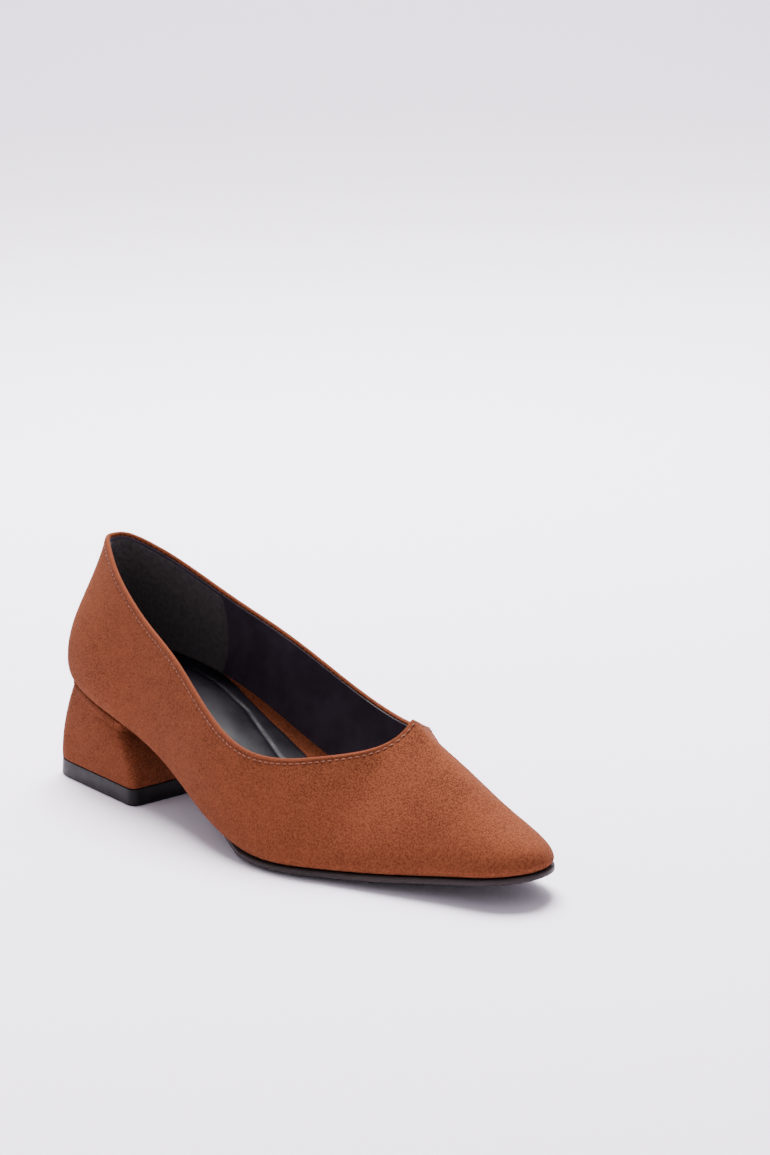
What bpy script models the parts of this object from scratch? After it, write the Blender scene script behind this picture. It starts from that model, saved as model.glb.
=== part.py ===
"""Block heel pump, right shoe: a pointed court shoe on a low flared block heel.

The shoe's own frame has x = 0 at the back of the heel, +x towards the toe, the floor at z = 0,
the outer (lateral) side at -y and the inner (medial) side at +y. Sizes are in millimetres until
a mesh is made. The finished pieces hang on one empty, which moves the middle of the shoe's
footprint to the world origin.
"""

import bpy
import bmesh
import numpy as np

MM = 0.001

# Driving sizes, in millimetres
FIT_GAP = 0.3
WALL = 1.8
FEATHER_RADIUS = 2.4
LASTING_MARGIN = 8.0
TOE_MARGIN = 4.5
SOCK_THICKNESS = 2.2
SOLE_EDGE = 2.1
SOLE_CROWN = 1.7
WAIST_CROWN = 0.6
SOLE_OVERHANG = 0.4
WAIST_INSET = 7.0
LIFT_HEIGHT = 6.3
LIFT_DRAFT = 0.5
LIFT_ROUNDING = 0.6
THROAT_RADIUS = 6.8
THROAT_OPENING = 0.0179

# The sections of the last, back to toe. foot_ is the feather line, where upper and sole meet;
# belly_ and crown_ are how far the wall swells above it and under the top; top_ is the top line
# of the last, which is its ridge from the throat on. cut is the share of the wall's height that
# the collar takes away. Lengths are in mm, lat and med are distances from the long axis.
COLUMNS = ("name", "foot_x", "foot_lat", "foot_med", "belly_out", "belly_up", "top_x",
           "top_lat", "top_med", "top_z", "crown_out", "crown_drop", "crown_tilt", "cut")
SECTION_ROWS = (
    ("back",       2.9, -1.6,  1.6, 4.3, 24.5,  21.4, -3.0,  3.0, 112.0,  4.6, 39.0,  0.00, 0.183),
    ("back_curve", 6.3, 12.0, 13.6, 4.5, 25.2,  23.2,  0.0,  6.2, 112.0,  3.8, 37.5,  0.00, 0.195),
    ("seat_back", 15.6, 17.3, 19.8, 4.2, 24.0,  29.0,  3.0, 10.2, 112.0,  2.6, 37.2,  0.00, 0.228),
    ("seat",      37.0, 21.4, 25.0, 4.4, 21.8,  43.0,  8.0, 16.0, 112.0,  2.0, 36.5,  0.00, 0.31),
    ("breast",    60.4, 22.6, 26.4, 5.6, 18.6,  66.2,  9.8, 19.4, 108.0,  5.2, 30.0,  0.00, 0.41),
    ("waist",     87.7, 26.2, 26.0, 8.0, 15.8,  93.7,  7.6, 20.2,  98.6, 11.2, 17.0,  0.00, 0.475),
    ("arch",     112.1, 32.4, 27.0, 8.6, 14.2, 118.8,  5.0, 23.3,  84.8, 17.4,  9.0,  0.00, 0.514),
    ("joint",    136.5, 37.6, 30.4, 7.0, 11.8, 146.2,  3.4, 24.1,  67.8, 20.2,  6.2, -0.28, 0.502),
    ("ball",     160.8, 38.6, 33.8, 5.2,  9.4, 168.3, -8.1, 12.9,  52.7, 20.6, -2.3, -0.13, 0.385),
    ("throat",   183.3, 32.0, 34.0, 4.0,  7.8, 182.7, -8.0,  8.0,  50.7, 13.5,  5.9, -0.93, 0.00),
    ("toe_root", 206.6, 23.9, 28.6, 3.5,  8.2, 196.6, -6.0,  6.0,  43.6,  9.4,  0.0, -0.60, 0.00),
    ("toe_mid",  229.0, 16.2, 22.0, 2.8,  8.4, 215.6, -3.8,  3.8,  34.4,  8.2,  0.0, -0.56, 0.00),
    ("toe_side", 244.9,  9.7, 16.2, 2.2,  7.9, 229.6, -2.4,  2.4,  27.4,  7.0,  0.0, -0.56, 0.00),
    ("toe_end",  251.5, -1.5,  1.5, 2.1,  7.6, 235.6, -1.8,  1.8,  24.9,  6.6,  0.0, -0.56, 0.00),
)
THROAT_ROW = 9
TOE_ROW = len(SECTION_ROWS) - 1

# The bottom of the last from the heel's back to the toe: x, z
BOTTOM_PROFILE = ((0.0, 39.4), (29.0, 33.2), (53.5, 27.6), (73.0, 22.2), (92.5, 15.8), (112.0, 9.8),
                  (131.5, 5.4), (151.0, 3.4), (170.5, 3.8), (195.0, 5.2), (224.0, 8.3), (251.5, 11.7))

# The heel: its breast at the top and at the floor, and the outline that stands on the floor
BREAST_TOP_X = 50.0
BREAST_FLOOR_X = 63.4
HEEL_AXIS_Y = 1.5
HEEL_FRONT_HALF = 28.5
HEEL_REAR_HALF = 22.6
HEEL_REAR_TURN_X = 15.0
HEEL_BACK_X = 0.6
HEEL_INSET = 1.2
HEEL_SEAT_BAND = 3.1
HEEL_FLARE = 1.8
HEEL_CORNER = 4.5
HEEL_CORNER_POINTS = 3
HEEL_SIDE_POINTS = 15
HEEL_BREAST_POINTS = 5

# The insole is built up under heel and arch and thin from the ball on: x, its top over the last's
# bottom. The padded sock shows the covered insole beside it on the medial side: x, inset from
# the feather line on the lateral and on the medial side.
INSOLE_TOP = ((0.0, 8.0), (30.0, 9.3), (58.0, 10.6), (76.0, 10.3), (90.0, 9.6), (108.0, 8.0),
              (130.0, 5.6), (152.0, 4.1), (200.0, 4.1), (252.0, 4.1))
SOCK_INSET = ((0.0, 1.9, 1.9), (50.0, 1.8, 1.5), (58.0, 1.8, 1.8), (73.0, 2.0, 4.4), (85.0, 2.2, 5.4),
              (98.0, 2.4, 5.9), (107.0, 2.6, 7.0), (125.0, 3.0, 9.4), (150.0, 3.8, 11.0), (252.0, 4.6, 11.0))
INSOLE_INSET = 2.5
INSOLE_START_ROW = 0.25
INSOLE_END_ROW = 12.8
SOCK_START_ROW = 0.3
SOCK_END_ROW = 11.4

# Colours as on the shoe, in linear RGB
SUEDE = (0.30, 0.105, 0.045)
SOCK_BLACK = (0.018, 0.016, 0.020)
SOLE_BLACK = (0.022, 0.020, 0.024)


def solve_bends(step, values, closed):
    """Second derivatives of the smooth curve through values, step apart."""
    count = len(values)
    if closed:
        size = count - 1
        matrix = np.zeros((size, size))
        right = np.zeros((size, values.shape[1]))
        for i in range(size):
            before = step[i - 1]
            after = step[i]
            ahead = values[(i + 1) % size] - values[i]
            behind = values[i] - values[(i - 1) % size]
            matrix[i, i - 1] += before
            matrix[i, i] += 2 * (before + after)
            matrix[i, (i + 1) % size] += after
            right[i] = 6 * (ahead / after - behind / before)
        bends = np.linalg.solve(matrix, right)
        return np.vstack([bends, bends[:1]])
    matrix = np.eye(count)
    right = np.zeros_like(values)
    for i in range(1, count - 1):
        matrix[i, i - 1:i + 2] = (step[i - 1], 2 * (step[i - 1] + step[i]), step[i])
        ahead = (values[i + 1] - values[i]) / step[i]
        behind = (values[i] - values[i - 1]) / step[i - 1]
        right[i] = 6 * (ahead - behind)
    return np.linalg.solve(matrix, right)


def spline(knots, values, closed=False):
    """A function that follows values at knots with continuous curvature."""
    knots = np.asarray(knots, float)
    values = np.asarray(values, float).reshape(len(knots), -1)
    step = np.diff(knots)
    bends = solve_bends(step, values, closed)
    span = knots[-1] - knots[0]

    def at(place):
        place = np.asarray(place, float)
        if closed:
            place = (place - knots[0]) % span + knots[0]
        i = np.clip(np.searchsorted(knots, place, side="right") - 1, 0, len(step) - 1)
        gap = step[i][..., None]
        run = (place - knots[i])[..., None]
        slope = (values[i + 1] - values[i]) / gap - gap * (2 * bends[i] + bends[i + 1]) / 6
        return values[i] + run * (slope + run * (bends[i] / 2 + run * (bends[i + 1] - bends[i]) / (6 * gap)))

    return at


def both_sides(lateral, medial):
    """A closed loop of values: back to toe on the lateral side, toe to back on the medial side."""
    return np.concatenate([lateral, medial[-2::-1]])


class Last:
    """The outer surface of the upper, from the section table. side is -1 lateral, +1 medial."""

    def __init__(self):
        numbers = np.array([row[1:] for row in SECTION_ROWS], float)
        table = dict(zip(COLUMNS[1:], numbers.T))
        foot_x = both_sides(table["foot_x"], table["foot_x"])
        foot_y = both_sides(-table["foot_lat"], table["foot_med"])
        foot = np.column_stack([foot_x, foot_y])
        run = np.linalg.norm(np.diff(foot, axis=0), axis=1)
        self.knots = np.concatenate([[0.0], np.cumsum(run)])
        self.foot_x = table["foot_x"]
        self.foot = spline(self.knots, foot, closed=True)
        top_x = both_sides(table["top_x"], table["top_x"])
        top_y = both_sides(-table["top_lat"], table["top_med"])
        top_z = both_sides(table["top_z"], table["top_z"])
        self.top = spline(self.knots, np.column_stack([top_x, top_y, top_z]), closed=True)
        shape_columns = ("belly_out", "belly_up", "crown_out", "crown_drop", "crown_tilt")
        shape = np.column_stack([both_sides(table[c], table[c]) for c in shape_columns])
        self.shape = spline(self.knots, shape, closed=True)
        profile = np.array(BOTTOM_PROFILE)
        self.bottom_curve = spline(profile[:, 0], profile[:, 1])
        build_up = np.array(INSOLE_TOP)
        self.insole_curve = spline(build_up[:, 0], build_up[:, 1])
        self.collar_curves = {side: self.collar_curve(side, table["cut"]) for side in (-1, 1)}

    def place(self, side, row):
        """Distance along the feather loop of a row number, which may be a fraction."""
        rows = np.arange(len(SECTION_ROWS))
        lateral = np.interp(row, rows, self.knots[:TOE_ROW + 1])
        medial = np.interp(row, rows, self.knots[:TOE_ROW - 1:-1])
        return lateral if side < 0 else medial

    def row_at(self, x):
        """The row number whose feather point lies at x."""
        return np.interp(x, self.foot_x, np.arange(len(SECTION_ROWS)))

    def bottom(self, x):
        """Height of the last's bottom above the floor."""
        return self.bottom_curve(x)[..., 0]

    def insole_top(self, x):
        """Height of the insole's top above the floor."""
        return self.bottom(x) + self.insole_curve(x)[..., 0]

    def outward(self, place):
        """Unit vector that points out of the shoe in plan."""
        along = self.foot(place + 0.5) - self.foot(place - 0.5)
        along = along / np.linalg.norm(along, axis=-1, keepdims=True)
        return np.stack([along[..., 1], -along[..., 0]], axis=-1)

    def inset(self, side, row, distance):
        """Plan points a distance inside the feather line."""
        place = self.place(side, row)
        return self.foot(place) - self.outward(place) * np.asarray(distance)[..., None]

    def throat_distance(self, side, place):
        """How far a place lies from the throat, rounded so that the V has a soft tip."""
        gap = np.maximum(np.abs(place - self.place(side, THROAT_ROW)), 0.0)
        return np.sqrt(gap * gap + 2 * THROAT_RADIUS * gap)

    def collar_curve(self, side, cut):
        """The collar's cut, per mm of distance from the throat."""
        rows = np.arange(THROAT_ROW)
        places = self.place(side, rows)
        shares = cut[:THROAT_ROW] / self.throat_distance(side, places)
        knots = np.append(np.abs(places - places[0]), abs(self.place(side, THROAT_ROW) - places[0]))
        return spline(knots, np.append(shares, THROAT_OPENING))

    def collar(self, side, row):
        """Share of the rib's height that is left under the collar, 1 on the vamp."""
        place = self.place(side, row)
        start = self.place(side, 0)
        share = self.collar_curves[side](np.abs(place - start))[..., 0]
        left = 1 - share * self.throat_distance(side, place)
        return np.where(np.asarray(row) < THROAT_ROW, left, 1.0)

    def top_point(self, side, row):
        """The top line of the last; on the vamp it is the ridge, the same from both sides."""
        own = self.top(self.place(side, row))
        other = self.top(self.place(-side, row))
        on_vamp = (np.asarray(row) >= THROAT_ROW)[..., None]
        return np.where(on_vamp, (own + other) / 2, own)

    def rib(self, side, row, share):
        """Point on the wall at a share of the rib that rises at a row."""
        place = self.place(side, row)
        foot = self.foot(place)
        out = self.outward(place)
        belly_out, belly_up, crown_out, crown_drop, crown_tilt = np.moveaxis(self.shape(place), -1, 0)
        start = np.concatenate([foot, self.bottom(foot[..., 0])[..., None]], axis=-1)
        end = self.top_point(side, row)
        belly = start + np.concatenate([out * belly_out[..., None], belly_up[..., None]], axis=-1)
        fall = out[..., 0] * crown_out * crown_tilt - crown_drop
        crown = end + np.concatenate([out * crown_out[..., None], fall[..., None]], axis=-1)
        s = np.asarray(share)[..., None]
        return start * (1 - s) ** 3 + belly * 3 * s * (1 - s) ** 2 + crown * 3 * s * s * (1 - s) + end * s ** 3

    def inside(self, side, row):
        """Plan point just clear of the wall's inner side, at the height of the insole's top."""
        shares = np.linspace(0, 0.5, 21)
        line = self.rib(side, np.full(len(shares), row), shares)
        share = np.interp(0.0, line[:, 2] - self.insole_top(line[:, 0]), shares)
        plan = self.rib(side, row, share)[:2]
        return plan - self.outward(self.place(side, row)) * (WALL + 2 * FIT_GAP)


def clear_scene():
    """Remove what a new file holds."""
    for item in list(bpy.data.objects):
        bpy.data.objects.remove(item, do_unlink=True)


def material(name, colour, roughness):
    """A plain Principled material."""
    made = bpy.data.materials.new(name)
    made.use_nodes = True
    shader = made.node_tree.nodes["Principled BSDF"]
    shader.inputs["Base Color"].default_value = (*colour, 1.0)
    shader.inputs["Roughness"].default_value = roughness
    shader.inputs["Metallic"].default_value = 0.0
    return made


def add_object(name, mesh, surface, collection):
    """Make an object of a bmesh, smooth where it is round."""
    bmesh.ops.remove_doubles(mesh, verts=mesh.verts, dist=1e-6)
    bmesh.ops.recalc_face_normals(mesh, faces=mesh.faces)
    data = bpy.data.meshes.new(name)
    mesh.to_mesh(data)
    mesh.free()
    data.materials.append(surface)
    data.shade_smooth()
    data.set_sharp_from_angle(angle=np.radians(40))
    made = bpy.data.objects.new(name, data)
    collection.objects.link(made)
    return made


def add_points(mesh, points):
    """Add a list of points in mm and return their vertices."""
    return [mesh.verts.new(tuple(float(c) * MM for c in point)) for point in points]


def add_strip(mesh, first, second):
    """Join two rows of vertices with quads, or with triangles where the rows share a vertex."""
    for i in range(len(first) - 1):
        corners = dict.fromkeys((first[i], first[i + 1], second[i + 1], second[i]))
        mesh.faces.new(list(corners))


def add_band(mesh, first, second):
    """Join two closed rings of vertices with quads."""
    add_strip(mesh, first + first[:1], second + second[:1])


def upper_rows():
    """Row numbers of the upper's ribs, closer together at the throat's tip and the toe."""
    quarter = np.linspace(0, 8, 25)
    near_throat = THROAT_ROW - np.array([0.72, 0.48, 0.28, 0.13, 0.04])
    vamp = np.linspace(THROAT_ROW, 12, 13)
    toe = np.array([12.25, 12.5, 12.72, 12.88, 13.0])
    return np.concatenate([quarter, near_throat, vamp, toe])


def upper_rib(last, side, row):
    """One rib of the upper: the lasting margin, the rounded feather edge and the wall."""
    margin = np.interp(row, (11.0, 13.0), (LASTING_MARGIN, TOE_MARGIN))
    points = []
    for inset, lift in ((margin, 0.0), (FEATHER_RADIUS, 0.0), (0.3 * FEATHER_RADIUS, 0.3 * FEATHER_RADIUS)):
        plan = last.inset(side, row, inset)
        points.append((plan[0], plan[1], last.bottom(plan[0]) + lift))
    steps = np.array([0.09, 0.18, 0.28, 0.38, 0.48, 0.58, 0.68, 0.78, 0.86, 0.93, 1.0])
    shares = steps * last.collar(side, row)
    rows = np.full(len(steps), row)
    points.extend(last.rib(side, rows, shares))
    return points


def build_upper(last, surface, collection):
    """The whole-cut upper: one wall with an open collar, turned in under the foot."""
    rows = upper_rows()
    mesh = bmesh.new()
    lateral = [add_points(mesh, upper_rib(last, -1, row)) for row in rows]
    medial = [add_points(mesh, upper_rib(last, 1, row)) for row in rows]
    for ribs in (lateral, medial):
        for first, second in zip(ribs, ribs[1:]):
            add_strip(mesh, first, second)
    upper = add_object("upper", mesh, surface, collection)
    wall = upper.modifiers.new("wall", "SOLIDIFY")
    wall.thickness = WALL * MM
    wall.offset = -1
    wall.use_even_offset = True
    return upper


def plate(name, rows, outline, top, bottom, surface, collection, across=10, under_outline=None):
    """A closed sheet between a lateral and a medial outline, with a top and an underside."""
    mesh = bmesh.new()
    shares = np.linspace(0, 1, across + 1)
    grids = []
    for height, border in ((top, outline), (bottom, under_outline or outline)):
        grid = []
        for row in rows:
            lateral = border(-1, row)
            medial = border(1, row)
            plan = lateral + (medial - lateral) * shares[:, None]
            z = height(plan[:, 0], row, 2 * shares - 1)
            grid.append(add_points(mesh, np.column_stack([plan, z])))
        for first, second in zip(grid, grid[1:]):
            add_strip(mesh, first, second)
        grids.append(grid)
    upper_side, underside = grids
    add_strip(mesh, upper_side[0], underside[0])
    add_strip(mesh, upper_side[-1], underside[-1])
    for edge in (0, -1):
        add_strip(mesh, [row[edge] for row in upper_side], [row[edge] for row in underside])
    bmesh.ops.remove_doubles(mesh, verts=mesh.verts, dist=1e-6)
    bmesh.ops.dissolve_degenerate(mesh, dist=1e-7, edges=mesh.edges)
    return add_object(name, mesh, surface, collection)


def build_insole(last, surface, collection):
    """The covered insole, on the lasting margin and out to the wall at its top."""
    return plate(
        "insole", np.linspace(INSOLE_START_ROW, INSOLE_END_ROW, 30), last.inside,
        lambda x, row, across: last.insole_top(x),
        lambda x, row, across: last.bottom(x) + WALL + FIT_GAP,
        surface, collection, across=6,
        under_outline=lambda side, row: last.inset(side, row, INSOLE_INSET))


def build_sock(last, surface, collection):
    """The padded sock on the insole, narrower on the medial side from the waist on."""
    x_knots, lateral, medial = np.array(SOCK_INSET).T

    def outline(side, row):
        x = last.foot(last.place(side, row))[0]
        return last.inset(side, row, np.interp(x, x_knots, lateral if side < 0 else medial))

    return plate(
        "sock", np.linspace(SOCK_START_ROW, SOCK_END_ROW, 28), outline,
        lambda x, row, across: last.insole_top(x) + FIT_GAP + SOCK_THICKNESS,
        lambda x, row, across: last.insole_top(x) + FIT_GAP,
        surface, collection, across=6)


def build_outsole(last, surface, collection):
    """The thin outsole: full width at the forefoot, tucked in at the waist, flat where it treads."""
    def spread(row):
        return np.clip((row - 5.2) / 2.0, 0, 1) ** 1.5

    def outline(side, row):
        inset = WAIST_INSET + (-SOLE_OVERHANG - WAIST_INSET) * spread(row)
        return last.inset(side, row, inset)

    def top(x, row, across):
        return last.bottom(x) - FIT_GAP

    def bottom(x, row, across):
        crown = WAIST_CROWN + (SOLE_CROWN - WAIST_CROWN) * spread(row)
        fall = crown * (1 - across ** 2) * np.clip((TOE_ROW - row) / 3, 0, 1)
        return np.maximum(top(x, row, across) - SOLE_EDGE - fall, 0.0)

    rows = np.concatenate([np.linspace(last.row_at(BREAST_TOP_X), 12, 30), [12.25, 12.5, 12.72, 12.88, 13.0]])
    return plate("outsole", rows, outline, top, bottom, surface, collection)


def resample(points, count, trim_start=0.0, trim_end=0.0):
    """Points at equal distances along a polyline, less a trimmed length at either end."""
    points = np.asarray(points, float)
    length = np.concatenate([[0.0], np.cumsum(np.linalg.norm(np.diff(points, axis=0), axis=1))])
    targets = np.linspace(trim_start, length[-1] - trim_end, count)
    return np.column_stack([np.interp(targets, length, points[:, axis]) for axis in range(2)])


def floor_outline(side, growth):
    """One side of the heel's outline at the floor, from its front corner to its back."""
    front = np.array([BREAST_FLOOR_X + growth, HEEL_FRONT_HALF + growth])
    turn = np.array([HEEL_REAR_TURN_X, HEEL_REAR_HALF + growth])
    back = np.array([HEEL_BACK_X - growth, 0.0])
    turn_handle = turn + (turn - front) * 0.26
    back_handle = back + np.array([0.0, 0.66 * HEEL_REAR_HALF])
    s = np.linspace(0, 1, 25)[:, None]
    curve = turn * (1 - s) ** 3 + turn_handle * 3 * s * (1 - s) ** 2 + back_handle * 3 * s * s * (1 - s) + back * s ** 3
    half = np.vstack([front, curve])
    return np.column_stack([half[:, 0], HEEL_AXIS_Y + side * half[:, 1]])


def seat_outline(last, side):
    """One side of the heel's outline under the seat, from its front corner to its back."""
    rows = np.linspace(last.row_at(BREAST_TOP_X - FIT_GAP), 0, 40)
    return last.inset(side, rows, np.full(len(rows), HEEL_INSET))


def rounded_corner(before, corner, after):
    """The inner points of a soft corner between two points."""
    s = np.linspace(0, 1, HEEL_CORNER_POINTS + 2)[1:-1, None]
    return before * (1 - s) ** 2 + corner * 2 * s * (1 - s) + after * s ** 2


def heel_ring(lateral, medial):
    """A closed ring: half the breast, lateral side to the back, medial side, the other half."""
    halves = []
    middle = (lateral[0] + medial[0]) / 2
    for half in (lateral, medial):
        side = resample(half, HEEL_SIDE_POINTS, trim_start=HEEL_CORNER)
        breast = resample([middle, half[0]], HEEL_BREAST_POINTS, trim_end=HEEL_CORNER)
        corner = rounded_corner(breast[-1], half[0], side[0])
        halves.append(np.vstack([breast, corner, side]))
    return np.vstack([halves[0], halves[1][-2:0:-1]])


def ring_solid(name, rings, surface, collection):
    """A closed loft through rings; the two ends are strips across from side to side."""
    mesh = bmesh.new()
    vertices = [add_points(mesh, ring) for ring in rings]
    for first, second in zip(vertices, vertices[1:]):
        add_band(mesh, first, second)
    for ring in (vertices[0], vertices[-1]):
        half = len(ring) // 2
        add_strip(mesh, ring[:half + 1], [ring[-i] for i in range(half + 1)])
    bmesh.ops.dissolve_degenerate(mesh, dist=1e-7, edges=mesh.edges)
    return add_object(name, mesh, surface, collection)


def build_heel(last, surface, collection):
    """The covered block heel: a short band at the seat, then flared down to the top lift."""
    top = heel_ring(seat_outline(last, -1), seat_outline(last, 1))
    floor = heel_ring(floor_outline(-1, -LIFT_DRAFT), floor_outline(1, -LIFT_DRAFT))
    z_top = last.bottom(top[:, 0]) - FIT_GAP
    z_floor = LIFT_HEIGHT + FIT_GAP
    z_band = z_top - HEEL_SEAT_BAND
    rings = [np.column_stack([top, z_top])]
    for down in np.linspace(0, 1, 9):
        flare = 1 - (1 - down) ** HEEL_FLARE
        plan = top + (floor - top) * flare
        rings.append(np.column_stack([plan, z_band + (z_floor - z_band) * down]))
    return ring_solid("heel", rings, surface, collection)


def build_top_lift(surface, collection):
    """The rubber top lift that the heel stands on, a little wider at the floor."""
    rings = []
    for growth, z in ((-LIFT_DRAFT, LIFT_HEIGHT), (0.0, LIFT_ROUNDING), (-LIFT_ROUNDING / 2, 0.0)):
        ring = heel_ring(floor_outline(-1, growth), floor_outline(1, growth))
        rings.append(np.column_stack([ring, np.full(len(ring), z)]))
    return ring_solid("top_lift", rings, surface, collection)


def centre_on_floor(pieces, collection):
    """Hang the pieces on an empty that puts the middle of their footprint at the origin."""
    bpy.context.view_layer.update()
    graph = bpy.context.evaluated_depsgraph_get()
    corners = np.array([corner[:] for piece in pieces for corner in piece.evaluated_get(graph).bound_box])
    middle = (corners.min(axis=0) + corners.max(axis=0)) / 2
    anchor = bpy.data.objects.new("pump_anchor", None)
    anchor.location = (-middle[0], -middle[1], 0.0)
    collection.objects.link(anchor)
    for piece in pieces:
        piece.parent = anchor


def main():
    clear_scene()
    collection = bpy.data.collections.new("block_heel_pump")
    bpy.context.scene.collection.children.link(collection)
    last = Last()
    pieces = [
        build_upper(last, material("upper_suede", SUEDE, 0.9), collection),
        build_insole(last, material("insole_suede", SUEDE, 0.9), collection),
        build_sock(last, material("sock_lining", SOCK_BLACK, 0.45), collection),
        build_outsole(last, material("outsole_rubber", SOLE_BLACK, 0.5), collection),
        build_heel(last, material("heel_suede", SUEDE, 0.9), collection),
        build_top_lift(material("top_lift_rubber", SOLE_BLACK, 0.45), collection),
    ]
    centre_on_floor(pieces, collection)


main()
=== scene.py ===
# %% [markdown]
# # Block heel pump
# This is a woman's court shoe in rust-brown suede: a pointed toe, a V-shaped throat and a low
# block heel. A shoe like it is made over a last, the solid foot form, so this script first
# rebuilds the last's surface from a table of cross-sections. Every visible piece is then laid on
# or inside that surface, in the shoe's own millimetres.

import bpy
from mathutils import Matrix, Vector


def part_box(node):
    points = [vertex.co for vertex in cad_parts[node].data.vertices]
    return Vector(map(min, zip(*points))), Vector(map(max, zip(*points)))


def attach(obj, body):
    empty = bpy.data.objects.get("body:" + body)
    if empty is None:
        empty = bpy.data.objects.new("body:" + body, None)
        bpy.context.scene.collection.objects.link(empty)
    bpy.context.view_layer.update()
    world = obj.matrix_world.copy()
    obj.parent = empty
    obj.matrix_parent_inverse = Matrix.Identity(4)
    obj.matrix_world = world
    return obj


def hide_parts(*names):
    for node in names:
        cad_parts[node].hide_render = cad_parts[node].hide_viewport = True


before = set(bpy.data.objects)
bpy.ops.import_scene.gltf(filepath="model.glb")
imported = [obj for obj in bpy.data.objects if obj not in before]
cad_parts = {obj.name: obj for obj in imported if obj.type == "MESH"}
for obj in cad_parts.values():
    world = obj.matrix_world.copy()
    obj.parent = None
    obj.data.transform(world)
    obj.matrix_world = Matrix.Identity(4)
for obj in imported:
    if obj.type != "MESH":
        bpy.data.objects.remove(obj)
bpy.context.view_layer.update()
print("packed nodes:", sorted(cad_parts))

import bmesh
import bpy
import numpy as np
from mathutils import Matrix, Vector
from mathutils.bvhtree import BVHTree

MM = 0.001

# %% [markdown]
# ## The last
# A last could be sculpted, or scanned and traced. A table is easier to correct: each row is one
# cross-section, with its point on the feather line (where upper meets sole), its point on the
# top line, and how far the wall between them swells. The columns lat and med are distances from
# the long axis to the outer and the inner side.

# %% Section table
COLUMNS = ("name", "foot_x", "foot_lat", "foot_med", "belly_out", "belly_up", "top_x",
           "top_lat", "top_med", "top_z", "crown_out", "crown_drop", "crown_tilt", "cut")
SECTION_ROWS = (
    ("back",       2.9, -1.6,  1.6, 4.3, 24.5,  21.4, -3.0,  3.0, 112.0,  4.6, 39.0,  0.00, 0.183),
    ("back_curve", 6.3, 12.0, 13.6, 4.5, 25.2,  23.2,  0.0,  6.2, 112.0,  3.8, 37.5,  0.00, 0.195),
    ("seat_back", 15.6, 17.3, 19.8, 4.2, 24.0,  29.0,  3.0, 10.2, 112.0,  2.6, 37.2,  0.00, 0.228),
    ("seat",      37.0, 21.4, 25.0, 4.4, 21.8,  43.0,  8.0, 16.0, 112.0,  2.0, 36.5,  0.00, 0.31),
    ("breast",    60.4, 22.6, 26.4, 5.6, 18.6,  66.2,  9.8, 19.4, 108.0,  5.2, 30.0,  0.00, 0.41),
    ("waist",     87.7, 26.2, 26.0, 8.0, 15.8,  93.7,  7.6, 20.2,  98.6, 11.2, 17.0,  0.00, 0.475),
    ("arch",     112.1, 32.4, 27.0, 8.6, 14.2, 118.8,  5.0, 23.3,  84.8, 17.4,  9.0,  0.00, 0.514),
    ("joint",    136.5, 37.6, 30.4, 7.0, 11.8, 146.2,  3.4, 24.1,  67.8, 20.2,  6.2, -0.28, 0.502),
    ("ball",     160.8, 38.6, 33.8, 5.2,  9.4, 168.3, -8.1, 12.9,  52.7, 20.6, -2.3, -0.13, 0.385),
    ("throat",   183.3, 32.0, 34.0, 4.0,  7.8, 182.7, -8.0,  8.0,  50.7, 13.5,  5.9, -0.93, 0.00),
    ("toe_root", 206.6, 23.9, 28.6, 3.5,  8.2, 196.6, -6.0,  6.0,  43.6,  9.4,  0.0, -0.60, 0.00),
    ("toe_mid",  229.0, 16.2, 22.0, 2.8,  8.4, 215.6, -3.8,  3.8,  34.4,  8.2,  0.0, -0.56, 0.00),
    ("toe_side", 244.9,  9.7, 16.2, 2.2,  7.9, 229.6, -2.4,  2.4,  27.4,  7.0,  0.0, -0.56, 0.00),
    ("toe_end",  251.5, -1.5,  1.5, 2.1,  7.6, 235.6, -1.8,  1.8,  24.9,  6.6,  0.0, -0.56, 0.00),
)
THROAT_ROW = 9
TOE_ROW = len(SECTION_ROWS) - 1

# The bottom of the last from the heel's back to the toe: x, z
BOTTOM_PROFILE = ((0.0, 39.4), (29.0, 33.2), (53.5, 27.6), (73.0, 22.2), (92.5, 15.8), (112.0, 9.8),
                  (131.5, 5.4), (151.0, 3.4), (170.5, 3.8), (195.0, 5.2), (224.0, 8.3), (251.5, 11.7))
THROAT_RADIUS = 6.8
THROAT_OPENING = 0.0179

# The insole is built up under heel and arch: x, its top over the last's bottom
INSOLE_TOP = ((0.0, 8.0), (30.0, 9.3), (58.0, 10.6), (76.0, 10.3), (90.0, 9.6), (108.0, 8.0),
              (130.0, 5.6), (152.0, 4.1), (200.0, 4.1), (252.0, 4.1))
print(len(SECTION_ROWS), "sections,", len(BOTTOM_PROFILE), "points on the bottom profile")

# %% [markdown]
# ## Smooth curves through the table
# A shoe shows every kink in its highlights. A spline whose curvature has no jumps is found by
# solving for the second derivative at each row, so one function serves the feather line, the
# top line and the swell of the wall.

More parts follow.
